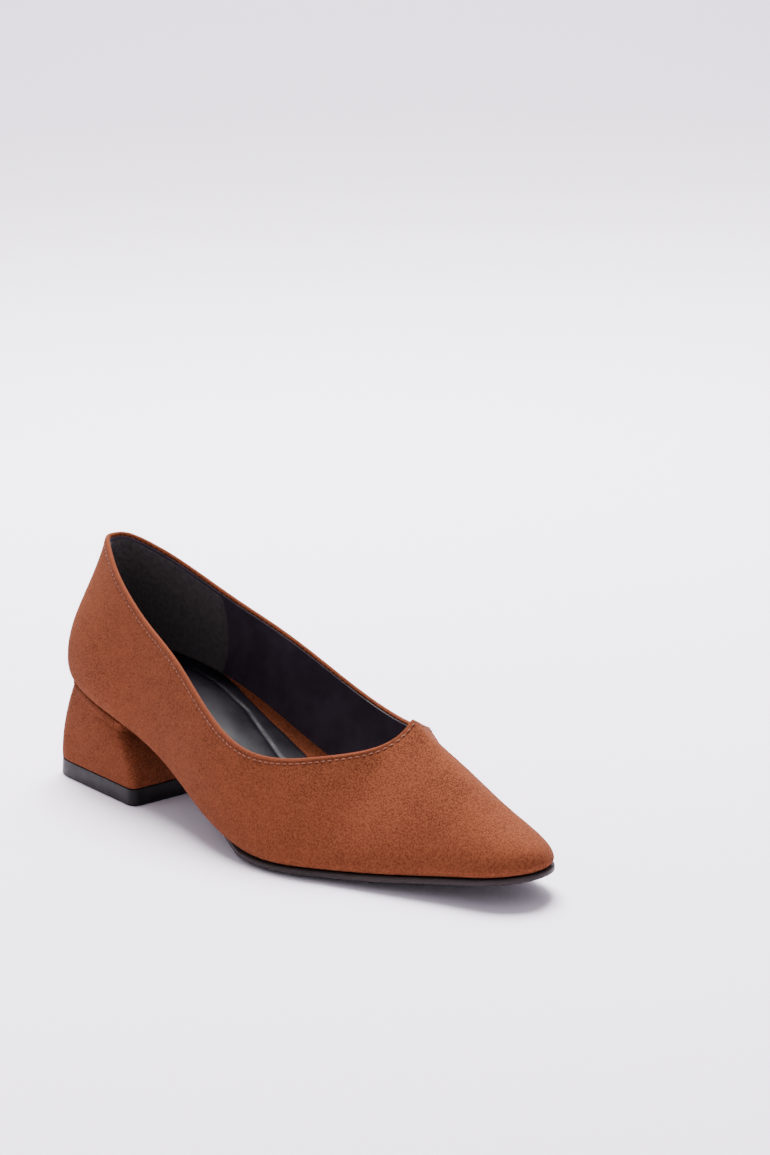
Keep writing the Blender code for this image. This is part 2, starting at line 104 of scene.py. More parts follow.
# %% Second derivatives
def solve_bends(step, values, closed):
    """Second derivatives of the smooth curve through values, step apart."""
    count = len(values)
    if closed:
        size = count - 1
        matrix = np.zeros((size, size))
        right = np.zeros((size, values.shape[1]))
        for i in range(size):
            before, after = step[i - 1], step[i]
            matrix[i, i - 1] += before
            matrix[i, i] += 2 * (before + after)
            matrix[i, (i + 1) % size] += after
            next_rise = (values[(i + 1) % size] - values[i]) / after
            last_rise = (values[i] - values[(i - 1) % size]) / before
            right[i] = 6 * (next_rise - last_rise)
        bends = np.linalg.solve(matrix, right)
        return np.vstack([bends, bends[:1]])
    matrix = np.eye(count)
    right = np.zeros_like(values)
    for i in range(1, count - 1):
        matrix[i, i - 1:i + 2] = (step[i - 1], 2 * (step[i - 1] + step[i]), step[i])
        right[i] = 6 * ((values[i + 1] - values[i]) / step[i] - (values[i] - values[i - 1]) / step[i - 1])
    return np.linalg.solve(matrix, right)


# %% The spline itself
def spline(knots, values, closed=False):
    """A function that follows values at knots with continuous curvature."""
    knots = np.asarray(knots, float)
    values = np.asarray(values, float).reshape(len(knots), -1)
    step = np.diff(knots)
    bends = solve_bends(step, values, closed)
    span = knots[-1] - knots[0]

    def at(place):
        place = np.asarray(place, float)
        if closed:
            place = (place - knots[0]) % span + knots[0]
        i = np.clip(np.searchsorted(knots, place, side="right") - 1, 0, len(step) - 1)
        gap = step[i][..., None]
        run = (place - knots[i])[..., None]
        slope = (values[i + 1] - values[i]) / gap - gap * (2 * bends[i] + bends[i + 1]) / 6
        bend_rise = run * (bends[i + 1] - bends[i]) / (6 * gap)
        return values[i] + run * (slope + run * (bends[i] / 2 + bend_rise))

    return at


# %% Lengths, directions and curves
def run_along(points):
    """Distance from the first point of a polyline to each of its points."""
    return np.concatenate([[0.0], np.cumsum(np.linalg.norm(np.diff(points, axis=0), axis=1))])


def unit(vectors):
    """The same directions, 1 long."""
    return vectors / np.linalg.norm(vectors, axis=-1, keepdims=True)


def cubic(start, first, second, end, s):
    """A curve that leaves start towards first and reaches end from second, at s from 0 to 1."""
    return start * (1 - s) ** 3 + first * 3 * s * (1 - s) ** 2 + second * 3 * s * s * (1 - s) + end * s ** 3


# %% [markdown]
# ## Feather line, top line and wall
# The feather line is one closed loop, so a place on the last is a distance round that loop, and
# side and row number turn into such a place. side is -1 on the outer side and +1 on the inner
# side. Working round the loop, and not on two separate halves, keeps heel and toe smooth.

# %% The loop of sections
def both_sides(lateral, medial):
    """A closed loop of values: back to toe on the outer side, toe to back on the inner side."""
    return np.concatenate([lateral, medial[-2::-1]])


table = dict(zip(COLUMNS[1:], np.array([row[1:] for row in SECTION_ROWS], float).T))
foot_values = np.column_stack([both_sides(table["foot_x"], table["foot_x"]),
                               both_sides(-table["foot_lat"], table["foot_med"])])
knots = run_along(foot_values)
foot = spline(knots, foot_values, closed=True)
top_line = spline(knots, np.column_stack([both_sides(table["top_x"], table["top_x"]),
                                          both_sides(-table["top_lat"], table["top_med"]),
                                          both_sides(table["top_z"], table["top_z"])]), closed=True)
wall_columns = ("belly_out", "belly_up", "crown_out", "crown_drop", "crown_tilt")
wall_values = np.column_stack([both_sides(table[c], table[c]) for c in wall_columns])
wall_shape = spline(knots, wall_values, closed=True)
bottom_curve = spline([x for x, z in BOTTOM_PROFILE], [z for x, z in BOTTOM_PROFILE])
insole_curve = spline([x for x, z in INSOLE_TOP], [z for x, z in INSOLE_TOP])
print(f"the feather line is {knots[-1]:.0f} mm round")


# %% Places on the loop
def place_of(side, row):
    """Distance round the feather line of a row number, which may be a fraction."""
    lateral = np.interp(row, np.arange(TOE_ROW + 1), knots[:TOE_ROW + 1])
    medial = np.interp(row, np.arange(TOE_ROW + 1), knots[:TOE_ROW - 1:-1])
    return lateral if side < 0 else medial


def row_at(x):
    """The row number whose feather point lies at x."""
    return np.interp(x, table["foot_x"], np.arange(TOE_ROW + 1))


def bottom(x):
    """Height of the last's bottom above the floor."""
    return bottom_curve(x)[..., 0]


def insole_top(x):
    """Height of the insole's top above the floor."""
    return bottom(x) + insole_curve(x)[..., 0]


def outward(place):
    """Unit vector that points out of the shoe in plan."""
    along = unit(foot(place + 0.5) - foot(place - 0.5))
    return np.stack([along[..., 1], -along[..., 0]], axis=-1)


def inset(side, row, distance):
    """Plan points a distance inside the feather line."""
    place = place_of(side, row)
    return foot(place) - outward(place) * np.asarray(distance)[..., None]


# %% The collar's cut
def throat_distance(side, place):
    """How far a place lies from the throat, rounded so that the V has a soft tip."""
    gap = np.abs(place - place_of(side, THROAT_ROW))
    return np.sqrt(gap * gap + 2 * THROAT_RADIUS * gap)


def collar_curve(side):
    """The collar's cut, per mm of distance from the throat."""
    places = place_of(side, np.arange(THROAT_ROW))
    shares = table["cut"][:THROAT_ROW] / throat_distance(side, places)
    ends = np.append(np.abs(places - places[0]), abs(place_of(side, THROAT_ROW) - places[0]))
    return spline(ends, np.append(shares, THROAT_OPENING))


collar_cuts = {side: collar_curve(side) for side in (-1, 1)}


def collar_share(side, row):
    """Share of the rib's height that is left under the collar, 1 on the vamp."""
    place = place_of(side, row)
    cut = collar_cuts[side](np.abs(place - place_of(side, 0)))[..., 0]
    return np.where(np.asarray(row) < THROAT_ROW, 1 - cut * throat_distance(side, place), 1.0)


# %% A rib of the wall
def top_point(side, row):
    """The top line of the last; on the vamp it is the ridge, the same from both sides."""
    own = top_line(place_of(side, row))
    other = top_line(place_of(-side, row))
    on_vamp = (np.asarray(row) >= THROAT_ROW)[..., None]
    return np.where(on_vamp, (own + other) / 2, own)


def rib(side, row, share):
    """Points on the wall at a share of the rib that rises at a row."""
    place = place_of(side, row)
    plan = foot(place)
    out = outward(place)
    belly_out, belly_up, crown_out, crown_drop, crown_tilt = np.moveaxis(wall_shape(place), -1, 0)
    start = np.concatenate([plan, bottom(plan[..., 0])[..., None]], axis=-1)
    end = top_point(side, row)
    belly = start + np.concatenate([out * belly_out[..., None], belly_up[..., None]], axis=-1)
    fall = out[..., 0] * crown_out * crown_tilt - crown_drop
    crown = end + np.concatenate([out * crown_out[..., None], fall[..., None]], axis=-1)
    s = np.asarray(share)[..., None]
    return cubic(start, belly, crown, end, s)


print("back of the collar:", np.round(rib(-1, 0.0, collar_share(-1, 0.0)), 1), "mm")

# %% [markdown]
# ## From the shoe's frame to the scene's
# The sizes above start at the back of the heel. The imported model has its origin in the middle
# of the footprint, so the shift is measured: the middle of the upper here against the middle of
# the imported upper. Nothing has to be nudged by eye.

# %% Measure the shift
check_rows = np.linspace(0, TOE_ROW, 300)[:, None] * np.ones(40)
check_points = []
for side in (-1, 1):
    shares = np.linspace(0.05, 1, 40) * collar_share(side, check_rows)
    check_points.append(rib(side, check_rows, shares).reshape(-1, 3))
check_points = np.concatenate(check_points)
own_middle = (check_points.min(axis=0) + check_points.max(axis=0)) / 2
packed_low, packed_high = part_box("upper")
packed_middle = (np.array(packed_low) + np.array(packed_high)) / 2 / MM
shift = np.array([packed_middle[0] - own_middle[0], packed_middle[1] - own_middle[1], 0.0])
print("shift to the packed frame:", np.round(shift, 2), "mm")


def in_scene(points):
    """Points of the shoe's frame, in mm, as points of the scene, in metres."""
    return (np.asarray(points, float) + shift) * MM


# %% [markdown]
# ## Mesh helpers
# Almost every piece of this shoe is a sheet, so most meshes are grids of points: rows of a
# table become rows of vertices. A grid gives even quads, which shade better than a subdivided
# coarse cage here, because the surface is already known exactly.

# %% Make a piece from points and faces
def make_piece(name, points, faces, surface, smooth_angle=180):
    """A piece that rides on the shoe; equal points are welded, normals are made to agree."""
    mesh = bmesh.new()
    vertices = [mesh.verts.new(point) for point in in_scene(points)]
    for corners in faces:
        corners = [vertices[i] for i in dict.fromkeys(corners)]
        if len(corners) > 2:
            mesh.faces.new(corners)
    bmesh.ops.remove_doubles(mesh, verts=mesh.verts, dist=2e-6)
    bmesh.ops.dissolve_degenerate(mesh, dist=1e-7, edges=mesh.edges)
    loose = [vertex for vertex in mesh.verts if not vertex.link_faces]
    bmesh.ops.delete(mesh, geom=loose, context="VERTS")
    bmesh.ops.recalc_face_normals(mesh, faces=mesh.faces)
    data = bpy.data.meshes.new(name)
    mesh.to_mesh(data)
    mesh.free()
    data.materials.append(surface)
    data.shade_smooth()
    if smooth_angle < 180:
        data.set_sharp_from_angle(angle=np.radians(smooth_angle))
    piece = bpy.data.objects.new(name, data)
    bpy.context.scene.collection.objects.link(piece)
    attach(piece, "root")
    print(f"{name}: {sum(len(p.vertices) - 2 for p in data.polygons)} triangles")
    return piece


def grid_faces(rows, columns, first=0, round_rows=False):
    """Quads of a grid of points stored row after row; round_rows joins the last row to the first."""
    faces = []
    for i in range(rows if round_rows else rows - 1):
        for j in range(columns - 1):
            a = first + i * columns + j
            b = first + (i + 1) % rows * columns + j
            faces.append((a, a + 1, b + 1, b))
    return faces


# %% [markdown]
# ## Ribs and steps of the upper
# Ribs stand closer together where the form turns fast, at the throat's tip and the toe. Up each
# rib the points are spaced by true distance, and the last few keep fixed distances from the
# topline, so that the fold and the stitch groove run parallel to the edge.

# %% Rib rows and distances
WALL = 1.8
FIT_GAP = 0.3
FOLD_RADIUS = WALL / 2
FEATHER_RADIUS = 2.4
FEATHER_SHARE = 0.08
FEATHER_STEPS = 6
rib_rows = np.concatenate([
    np.linspace(0, 7, 92), np.linspace(7, 8.7, 34)[1:], np.linspace(8.7, 9, 14)[1:],
    np.linspace(9, 12, 56)[1:], np.linspace(12, 13, 26)[1:]])
EDGE_DISTANCES = (6.5, 5.2, 4.2, 3.5, 3.1, 2.8, 2.5, 2.2, 1.9, 1.6, 1.3)
WALL_STEPS = 30
print(len(rib_rows), "ribs on each side")


def wall_points(side, row):
    """Points up one rib, from just above the feather edge to the fold of the topline."""
    shares = np.linspace(FEATHER_SHARE, float(collar_share(side, row)), 90)
    run = run_along(rib(side, np.full(len(shares), row), shares))
    tail = run[-1] - np.array(EDGE_DISTANCES)
    lengths = np.concatenate([np.linspace(0, tail[0], WALL_STEPS)[:-1], tail])
    if row > THROAT_ROW:
        lengths[-1] = run[-1]
    return rib(side, np.full(len(lengths), row), np.interp(lengths, run, shares))


def feather_points(side, row):
    """The lasting margin under the foot and the rounded feather edge."""
    margin = np.interp(row, (11.0, 13.0), (8.0, 4.5))
    plans = [inset(side, row, margin), inset(side, row, FEATHER_RADIUS), inset(side, row, 0.0)]
    turned = np.array([[p[0], p[1], bottom(p[0])] for p in plans])
    wall_foot = rib(side, row, FEATHER_SHARE)
    s = np.linspace(0, 1, FEATHER_STEPS)[:-1, None]
    edge = turned[1] * (1 - s) ** 2 + turned[2] * 2 * s * (1 - s) + wall_foot * s * s
    return np.vstack([turned[:1], edge])


# %% [markdown]
# ## The outer skin as one grid
# The ribs go once round the shoe: outer side from back to toe, inner side from toe to back.
# From that grid come the surface normals, and from them the fold, the lining and the stitches.

# %% Build the grid
round_ribs = [(-1, row) for row in rib_rows] + [(1, row) for row in rib_rows[-2:0:-1]]
skin = np.array([np.vstack([feather_points(s, r), wall_points(s, r)]) for s, r in round_ribs])
ribs, steps = skin.shape[:2]
rib_side = np.array([s for s, r in round_ribs])
rib_row = np.array([r for s, r in round_ribs])
around = np.roll(skin, -1, axis=0) - np.roll(skin, 1, axis=0)
up = np.gradient(skin, axis=1)
normals = unit(np.cross(around, up))
rib_places = np.array([place_of(s, r) for s, r in round_ribs])
if np.sum(normals[:, steps // 2, :2] * outward(rib_places)) < 0:
    normals = -normals
twin = np.array([np.flatnonzero((rib_side == -s) & (rib_row == r))[0] if 0 < r < TOE_ROW else k
                 for k, (s, r) in enumerate(round_ribs)])
on_vamp = rib_row > THROAT_ROW
normals[on_vamp, -1] = unit(normals[:, -1] + normals[twin, -1])[on_vamp]
print("skin grid:", ribs, "ribs by", steps, "steps")


# %% The collar line
collar_ribs = np.flatnonzero(rib_row <= THROAT_ROW)
on_inner = rib_side[collar_ribs] > 0
collar_ribs = np.concatenate([collar_ribs[on_inner], collar_ribs[~on_inner]])
collar_points = np.array([rib(s, r, collar_share(s, r))
                          for s, r in zip(rib_side[collar_ribs], rib_row[collar_ribs])])
collar_along = np.roll(collar_points, -1, axis=0) - np.roll(collar_points, 1, axis=0)
at_tip = rib_row[collar_ribs] == THROAT_ROW
collar_along[at_tip] = collar_along[at_tip].sum(axis=0)
collar_along = unit(collar_along)
collar_normals = normals[collar_ribs, -1].copy()
collar_normals[at_tip] = collar_normals[at_tip].sum(axis=0) / 2
collar_normals = unit(collar_normals)
collar_up = np.cross(collar_along, collar_normals)
climb = collar_points - skin[collar_ribs, -3]
collar_up = unit(collar_up * np.sign(np.sum(collar_up * climb)))
collar_run = run_along(collar_points)
print(f"the collar is {collar_run[-1]:.0f} mm round")

# %% [markdown]
# ## Suede, lining and rubber
# Suede has no gloss of its own: it shows cloudy patches where the nap lies one way or the
# other, a fine salt-and-pepper grain, and a bright rim where fibres catch the light. Noise at
# three sizes mixes its colours, the finest one also gives the bump, and the shader's sheen gives
# the rim. A picture of suede would repeat and stretch; noise in the shoe's own space does not.

# %% Node helpers
def new_surface(name, roughness, specular):
    """A Principled material with its constant numbers set; returns material, node tree, shader."""
    surface = bpy.data.materials.new(name)
    surface.use_nodes = True
    shader = surface.node_tree.nodes["Principled BSDF"]
    shader.inputs["Roughness"].default_value = roughness
    shader.inputs["Specular IOR Level"].default_value = specular
    return surface, surface.node_tree, shader


def noise(tree, size, detail=3.0, rough=0.55, stretch=(1, 1, 1)):
    """Noise whose clumps are about size mm across; returns its factor output."""
    place = tree.nodes.new("ShaderNodeTexCoord")
    scaled = tree.nodes.new("ShaderNodeMapping")
    scaled.inputs["Scale"].default_value = stretch
    made = tree.nodes.new("ShaderNodeTexNoise")
    made.inputs["Scale"].default_value = 1 / (size * MM)
    made.inputs["Detail"].default_value = detail
    made.inputs["Roughness"].default_value = rough
    tree.links.new(place.outputs["Object"], scaled.inputs["Vector"])
    tree.links.new(scaled.outputs["Vector"], made.inputs["Vector"])
    return made.outputs["Fac"]


def remap(tree, value, low, high, to_low, to_high):
    """Stretch a value from low..high to to_low..to_high, clamped and eased."""
    made = tree.nodes.new("ShaderNodeMapRange")
    made.interpolation_type = "SMOOTHSTEP"
    for socket, number in zip(("From Min", "From Max", "To Min", "To Max"), (low, high, to_low, to_high)):
        made.inputs[socket].default_value = number
    tree.links.new(value, made.inputs["Value"])
    return made.outputs["Result"]


def mix(tree, factor, first, second):
    """Blend two colours; each is a socket or an RGB triple."""
    made = tree.nodes.new("ShaderNodeMix")
    made.data_type = "RGBA"
    tree.links.new(factor, made.inputs["Factor"])
    for value, socket in ((first, "A"), (second, "B")):
        target = [s for s in made.inputs if s.name == socket and s.type == "RGBA"][0]
        if isinstance(value, tuple):
            target.default_value = (*value, 1.0)
        else:
            tree.links.new(value, target)
    return [s for s in made.outputs if s.type == "RGBA"][0]


def add_bump(tree, shader, heights):
    """Chain bumps: each is (height socket, depth in mm, strength)."""
    previous = None
    for height, depth, strength in heights:
        made = tree.nodes.new("ShaderNodeBump")
        made.inputs["Distance"].default_value = depth * MM
        made.inputs["Strength"].default_value = strength
        tree.links.new(height, made.inputs["Height"])
        if previous is not None:
            tree.links.new(previous, made.inputs["Normal"])
        previous = made.outputs["Normal"]
    tree.links.new(previous, shader.inputs["Normal"])


def measured(tree, name):
    """A number that the mesh carries at each vertex."""
    made = tree.nodes.new("ShaderNodeAttribute")
    made.attribute_name = name
    return made.outputs["Fac"]


def calculate(tree, operation, first, second=0.0):
    """A maths node; first and second are numbers or outputs of other nodes."""
    made = tree.nodes.new("ShaderNodeMath")
    made.operation = operation
    for value, socket in zip((first, second), made.inputs):
        if isinstance(value, float):
            socket.default_value = value
        else:
            tree.links.new(value, socket)
    return made.outputs[0]


# %% Suede
SUEDE_DARK = (0.054, 0.0125, 0.0050)
SUEDE_MID = (0.112, 0.0275, 0.0112)
SUEDE_LIGHT = (0.235, 0.0700, 0.0310)
# Painted highlight: the colour laid along the folded topline, where the rounded fold catches the light.
SUEDE_PAINTED_FOLD_HIGHLIGHT = (0.130, 0.0340, 0.0160)
# Painted shade: the colour laid into the stitch groove, where the pressed line lies in shade.
SUEDE_PAINTED_GROOVE_SHADE = (0.055, 0.015, 0.008)
STITCH_PITCH = 2.35
STITCH_OFFSET = 2.3


def suede(name, edge=False, painted_shade=0.0):
    """Brushed suede; with edge set it also paints a highlight along the fold and shade in the stitch
    groove, and its shade setting dims the whole copy as painted shade.
    """
    surface, tree, shader = new_surface(name, 0.96, 0.05)
    clouds = remap(tree, noise(tree, 34, 2.0, 0.5), 0.34, 0.66, 0.0, 1.0)
    brushed = remap(tree, noise(tree, 8.5, 3.0, 0.5, (1, 1, 1.6)), 0.30, 0.70, 0.0, 1.0)
    grain = remap(tree, noise(tree, 0.6, 2.0, 0.6), 0.32, 0.68, 0.0, 1.0)
    nap = noise(tree, 0.42, 3.0, 0.75)
    # The clouds' lightest tone is lowered by the shade setting, which paints shade into the heel cover's
    # copy.
    colour = mix(tree, remap(tree, clouds, 0, 1, 0.30, 0.70 - painted_shade), SUEDE_DARK, SUEDE_MID)
    colour = mix(tree, remap(tree, brushed, 0, 1, 0.0, 0.55), colour, SUEDE_MID)
    colour = mix(tree, remap(tree, grain, 0, 1, 0.05, 0.55), colour, SUEDE_LIGHT)
    heights = [(nap, 0.16, 0.55), (grain, 0.14, 0.5), (brushed, 0.25, 0.25)]
    if edge:
        off = measured(tree, "edge_distance")
        # Painted highlight: lighter suede within about 2.4 mm of the topline, where the rounded fold
        # catches the light.
        colour = mix(tree, remap(tree, off, 0.4, 2.4, 0.65, 0.0), colour, SUEDE_PAINTED_FOLD_HIGHLIGHT)
        in_pitch = calculate(tree, "FRACT", measured(tree, "edge_along"))
        near_hole = calculate(tree, "ABSOLUTE", calculate(tree, "SUBTRACT", in_pitch, 0.5))
        from_line = calculate(tree, "ABSOLUTE", calculate(tree, "SUBTRACT", off, STITCH_OFFSET))
        on_line = remap(tree, from_line, 0.20, 0.90, 1.0, 0.0)
        hole = remap(tree, near_hole, 0.26, 0.44, 0.30, 1.0)
        groove_dent_and_painted_shade = calculate(tree, "MULTIPLY", on_line, hole)
        # Painted shade in the stitch groove; the same mask also dents the bump below.
        colour = mix(tree, remap(tree, groove_dent_and_painted_shade, 0, 1, 0.0, 0.85), colour, SUEDE_PAINTED_GROOVE_SHADE)
        heights.append((calculate(tree, "SUBTRACT", 1.0, groove_dent_and_painted_shade), 0.35, 0.8))
    tree.links.new(colour, shader.inputs["Base Color"])
    add_bump(tree, shader, heights)
    shader.inputs["Sheen Weight"].default_value = 0.045
    shader.inputs["Sheen Roughness"].default_value = 0.35
    shader.inputs["Sheen Tint"].default_value = (1.0, 0.50, 0.28, 1.0)
    return surface


upper_suede = suede("upper_suede", edge=True)
# The heel cover's suede is a dimmed copy of the same suede, with painted shade for the shade under the
# shoe.
heel_suede_shaded = suede("heel_cover_suede_shaded", painted_shade=0.08)
strip_suede = suede("insole_cover_suede")
print("suede for the upper, the heel cover and the insole cover")


# %% Lining, sock and heel grip
def smooth_leather(name, colour, roughness, coat, grain_size, wrinkle, specular=0.10):
    """Thin finished lining leather: near black, with a soft gloss and a fine pebble."""
    surface, tree, shader = new_surface(name, roughness, specular)
    patches = noise(tree, 14, 3.0, 0.6)
    worn = tuple(c * 1.55 + 0.001 for c in colour)
    shade = mix(tree, remap(tree, patches, 0.3, 0.7, 0, 1), colour, worn)
    tree.links.new(shade, shader.inputs["Base Color"])
    uneven = remap(tree, patches, 0.3, 0.7, roughness - 0.07, roughness + 0.10)
    tree.links.new(uneven, shader.inputs["Roughness"])
    shader.inputs["Coat Weight"].default_value = coat
    shader.inputs["Coat Roughness"].default_value = 0.38
    pebble = noise(tree, grain_size, 2.0, 0.5)
    folds = noise(tree, 7.0, 2.0, 0.5, (1.0, 1.0, 0.5))
    add_bump(tree, shader, [(folds, 0.5, wrinkle), (pebble, 0.05, 0.5)])
    return surface


def napped_lining(name, colour):
    """The heel grip: a matt, slightly furry lining that stops the heel from slipping."""
    surface, tree, shader = new_surface(name, 0.92, 0.15)
    mottle = noise(tree, 1.6, 4.0, 0.7)
    dark, light = (tuple(c * share for c in colour) for share in (0.75, 1.35))
    shade = mix(tree, remap(tree, mottle, 0.3, 0.7, 0, 1), dark, light)
    tree.links.new(shade, shader.inputs["Base Color"])
    add_bump(tree, shader, [(noise(tree, 0.5, 3.0, 0.7), 0.12, 0.5)])
    shader.inputs["Sheen Weight"].default_value = 0.25
    shader.inputs["Sheen Roughness"].default_value = 0.5
    return surface


lining_leather = smooth_leather("quarter_lining", (0.0300, 0.0225, 0.0320), 0.36, 0.30, 0.5, 0.45)
sock_leather = smooth_leather("sock_cover", (0.0040, 0.0030, 0.0050), 0.40, 0.0, 0.6, 0.25, specular=0.05)
grip_lining = napped_lining("heel_grip_lining", (0.042, 0.035, 0.036))
print("lining, sock cover and heel grip")


# %% Rubber and seam thread
def rubber(name, colour, roughness, grain_size):
    """Moulded rubber: an even black with a fine matt skin."""
    surface, tree, shader = new_surface(name, roughness, 0.14)
    dust = noise(tree, 6.0, 4.0, 0.7)
    dusty = tuple(c * 1.4 + 0.001 for c in colour)
    shade = mix(tree, remap(tree, dust, 0.35, 0.75, 0, 1), colour, dusty)
    tree.links.new(shade, shader.inputs["Base Color"])
    uneven = remap(tree, dust, 0.3, 0.7, roughness - 0.06, roughness + 0.08)
    tree.links.new(uneven, shader.inputs["Roughness"])
    add_bump(tree, shader, [(noise(tree, grain_size, 2.0, 0.6), 0.06, 0.5)])
    return surface


outsole_rubber = rubber("outsole_black", (0.0200, 0.0140, 0.0140), 0.50, 0.5)
lift_rubber = rubber("top_lift_black", (0.0080, 0.0065, 0.0080), 0.48, 0.4)
thread, tree, shader = new_surface("seam_thread", 0.50, 0.15)
ply = mix(tree, noise(tree, 0.3, 1.0, 0.5), (0.12, 0.032, 0.015), (0.24, 0.080, 0.042))
tree.links.new(ply, shader.inputs["Base Color"])
shader.inputs["Sheen Weight"].default_value = 0.03
print("rubber and thread")

# %% [markdown]
# ## The upper
# The upper is one wall: suede outside, folded over the topline and glued down inside. It could
# be thickened with a Solidify modifier, but that leaves a square edge. Here the wall's outer
# side, a half-round fold and a narrow turn-in are laid as one strip from the same ribs.

# %% Press the stitch groove into the skin
def edge_numbers(points):
    """Distance from the collar line, and place along it in stitches, for points of the upper."""
    flat = points.reshape(-1, 3)
    nearest = np.full(len(flat), 1e9)
    stitches = np.zeros(len(flat))
    for a, b, run_a, run_b in zip(collar_points[:-1], collar_points[1:], stitch_run[:-1], stitch_run[1:]):
        reach = b - a
        t = np.clip((flat - a) @ reach / max(reach @ reach, 1e-12), 0, 1)
        gap = np.linalg.norm(flat - a - t[:, None] * reach, axis=1)
        closer = gap < nearest
        nearest[closer] = gap[closer]
        stitches[closer] = run_a + (run_b - run_a) * t[closer]
    return nearest.reshape(points.shape[:-1]), stitches.reshape(points.shape[:-1])


GROOVE_DEPTH, GROOVE_WIDTH = 0.24, 0.55
PUFF_HEIGHT, PUFF_OFFSET, PUFF_WIDTH = 0.10, 1.1, 0.6
stitch_count = int(round(collar_run[-1] / STITCH_PITCH))
stitch_run = collar_run * (stitch_count / collar_run[-1])
edge_off = edge_numbers(skin[:, FEATHER_STEPS:])[0]
groove = GROOVE_DEPTH * np.exp(-((edge_off - STITCH_OFFSET) / GROOVE_WIDTH) ** 2)
puff = PUFF_HEIGHT * np.exp(-((edge_off - PUFF_OFFSET) / PUFF_WIDTH) ** 2)
pressed = skin.copy()
pressed[:, FEATHER_STEPS:] += normals[:, FEATHER_STEPS:] * (puff - groove)[..., None]
print(stitch_count, "stitches round the collar")

# %% Fold the topline and turn it in
fold_angles = np.radians(np.linspace(0, 180, 9))
fold = []
for point, normal, climb in zip(collar_points, collar_normals, collar_up):
    centre = point - climb * FOLD_RADIUS - normal * FOLD_RADIUS
    fold.append([centre + FOLD_RADIUS * (normal * np.cos(a) + climb * np.sin(a)) for a in fold_angles]
                + [point - normal * WALL - climb * (FOLD_RADIUS + down) for down in (0.6, 1.4)])
fold = np.array(fold)
fold_steps = fold.shape[1]
upper_points = np.vstack([pressed.reshape(-1, 3), fold.reshape(-1, 3)])
upper_faces = grid_faces(ribs, steps, round_rows=True)
first = ribs * steps
upper_faces += grid_faces(len(collar_ribs), fold_steps, first=first)
for i in range(len(collar_ribs) - 1):
    a, b = collar_ribs[i] * steps + steps - 1, collar_ribs[i + 1] * steps + steps - 1
    upper_faces.append((a, b, first + (i + 1) * fold_steps, first + i * fold_steps))
upper = make_piece("upper_skin", upper_points, upper_faces, upper_suede)
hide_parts("upper")


# %% Let the upper carry its distances from the edge
def carry(piece, name, values):
    """Store one number for each vertex of a piece."""
    stored = piece.data.attributes.new(name, "FLOAT", "POINT")
    stored.data.foreach_set("value", np.asarray(values, np.float32))


def own_points(piece):
    """A piece's vertices back in the shoe's own mm."""
    flat = np.zeros(len(piece.data.vertices) * 3, np.float32)
    piece.data.vertices.foreach_get("co", flat)
    return flat.reshape(-1, 3) / MM - shift


upper_off, upper_stitch = edge_numbers(own_points(upper))
carry(upper, "edge_distance", upper_off)
carry(upper, "edge_along", upper_stitch)
print(f"furthest point from the collar: {upper_off.max():.0f} mm")

# %% [markdown]
# ## Stitches round the topline
# One row of top stitching holds the fold down. Painted dots would look flat in the side light,
# so each stitch is a short thread that rises from one hole and dips into the next. They follow
# the collar line at a fixed distance, dropped onto the skin beneath.

# %% Sew the topline
STITCH_RADIUS = 0.31
STITCH_RINGS = 5
STITCH_TURNS = 6


def capsule(start, end, normal):
    """Points of one stitch: a bowed thread between two holes."""
    along = end - start
    length = np.linalg.norm(along)
    along = along / length
    across = np.cross(along, normal)
    points = []
    for t in np.linspace(0, 1, STITCH_RINGS):
        bow = np.sin(np.pi * t)
        thick = STITCH_RADIUS * (0.45 + 0.55 * bow)
        centre = start + along * length * t + normal * (0.30 * bow - 0.12)
        for turn in np.arange(STITCH_TURNS) / STITCH_TURNS * 2 * np.pi:
            points.append(centre + thick * (across * np.cos(turn) + normal * np.sin(turn)))
    return points


def capsule_faces(first):
    """Faces of one stitch."""
    faces = []
    for ring in range(first, first + (STITCH_RINGS - 1) * STITCH_TURNS, STITCH_TURNS):
        for j in range(STITCH_TURNS):
            a, b = ring + j, ring + (j + 1) % STITCH_TURNS
            faces.append((a, b, b + STITCH_TURNS, a + STITCH_TURNS))
    for ring in (first, first + (STITCH_RINGS - 1) * STITCH_TURNS):
        faces.append(tuple(range(ring, ring + STITCH_TURNS)))
    return faces


skin_tree = BVHTree.FromPolygons([tuple(p) for p in pressed.reshape(-1, 3)],
                                 grid_faces(ribs, steps, round_rows=True))


def on_skin(stitch_place):
    """Point of the stitch line at a place in stitches, and the skin's normal there."""
    edge, away, out = (np.array([np.interp(stitch_place, stitch_run, line[:, k]) for k in range(3)])
                       for line in (collar_points, collar_up, collar_normals))
    found, normal, _, _ = skin_tree.find_nearest(Vector(edge - STITCH_OFFSET * away / np.linalg.norm(away)))
    normal = np.array(normal)
    return np.array(found), normal * np.sign(normal @ out)


stitch_points, stitch_faces = [], []
for number in range(stitch_count):
    start, normal_a = on_skin(number + 0.56)
    end, normal_b = on_skin(number + 1.44)
    facing = (normal_a + normal_b) / np.linalg.norm(normal_a + normal_b)
    stitch_faces += capsule_faces(len(stitch_points))
    stitch_points += capsule(start, end, facing)
stitches = make_piece("topline_stitches", stitch_points, stitch_faces, thread)

# %% [markdown]
# ## The lining and the heel grip
# Inside, a thin black lining covers the wall, and a matt napped grip is sewn over its back half
# so that the heel does not slip. Both are the skin moved inwards along its normals, which keeps
# the wall's thickness true everywhere.

